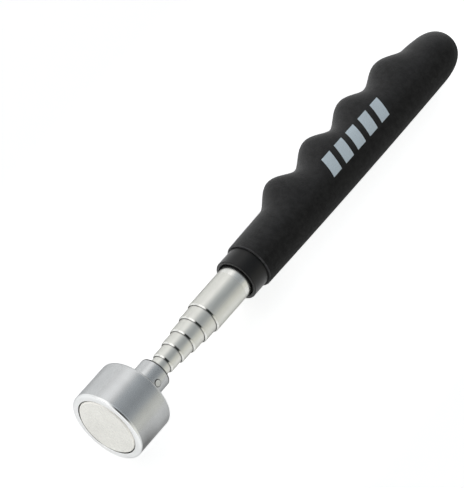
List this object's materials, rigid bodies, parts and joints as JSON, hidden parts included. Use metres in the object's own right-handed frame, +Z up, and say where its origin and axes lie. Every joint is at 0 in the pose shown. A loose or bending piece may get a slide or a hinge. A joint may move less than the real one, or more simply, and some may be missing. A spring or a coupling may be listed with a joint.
{
  "type": "telescoping magnetic pick-up tool",
  "caption": "Telescoping magnetic pick-up tool: round magnet head on nested sliding tubes, with a contoured foam grip.",
  "frame": {"origin": "centre of the magnet's working face, on the tool's axis", "axes": "+Y along the tool's axis from the magnet face to the handle's end, finger bumps towards -X, +Z up when the tool lies on its flat side"},
  "size_m": [0.0274, 0.2032, 0.027],
  "materials": {
    "foam": "matt black closed-cell foam with a fine grain",
    "black_plastic": "smooth moulded plastic, slightly glossy",
    "tube_steel": "satin drawn tube with fine lines along it",
    "head_aluminium": "satin turned metal with a bright rounded rim",
    "magnet_nickel": "nickel plating, softly polished",
    "bush_bronze": "plain rolled strip",
    "steel": "plain machined steel",
    "dark_plastic": "plain moulded plastic"
  },
  "bodies": {
    "handle": {"foam_grip": "foam", "front_collar": "black_plastic", "liner_sleeve": "dark_plastic", "rear_plug": "dark_plastic", "tube_1": "tube_steel"},
    "bush_2": {"friction_bush_2": "bush_bronze"},
    "stage_2": {"tube_2": "tube_steel"},
    "bush_3": {"friction_bush_3": "bush_bronze"},
    "stage_3": {"tube_3": "tube_steel"},
    "bush_4": {"friction_bush_4": "bush_bronze"},
    "stage_4": {"tube_4": "tube_steel"},
    "bush_5": {"friction_bush_5": "bush_bronze"},
    "stage_5": {"tube_5": "tube_steel"},
    "bush_6": {"friction_bush_6": "bush_bronze"},
    "head": {"tube_6": "tube_steel", "head_housing": "head_aluminium", "magnet_disc": "magnet_nickel", "back_plate": "steel", "spacer_ring": "dark_plastic", "tip_shank": "steel", "neck_pin": "steel"}
  },
  "joints": [
    {"name": "slide_2", "type": "slide", "parent": "handle", "child": "bush_2", "axis": [0, -1, 0], "range_m": [0, 0.115]},
    {"name": "spin_2", "type": "hinge", "parent": "bush_2", "child": "stage_2", "pos_m": [0, 0.17175, 0], "axis": [0, 1, 0], "continuous": true},
    {"name": "slide_3", "type": "slide", "parent": "stage_2", "child": "bush_3", "axis": [0, -1, 0], "range_m": [0, 0.115]},
    {"name": "spin_3", "type": "hinge", "parent": "bush_3", "child": "stage_3", "pos_m": [0, 0.16625, 0], "axis": [0, 1, 0], "continuous": true},
    {"name": "slide_4", "type": "slide", "parent": "stage_3", "child": "bush_4", "axis": [0, -1, 0], "range_m": [0, 0.115]},
    {"name": "spin_4", "type": "hinge", "parent": "bush_4", "child": "stage_4", "pos_m": [0, 0.16095, 0], "axis": [0, 1, 0], "continuous": true},
    {"name": "slide_5", "type": "slide", "parent": "stage_4", "child": "bush_5", "axis": [0, -1, 0], "range_m": [0, 0.115]},
    {"name": "spin_5", "type": "hinge", "parent": "bush_5", "child": "stage_5", "pos_m": [0, 0.15585, 0], "axis": [0, 1, 0], "continuous": true},
    {"name": "slide_6", "type": "slide", "parent": "stage_5", "child": "bush_6", "axis": [0, -1, 0], "range_m": [0, 0.115]},
    {"name": "spin_6", "type": "hinge", "parent": "bush_6", "child": "head", "pos_m": [0, 0.15075, 0], "axis": [0, 1, 0], "continuous": true}
  ]
}
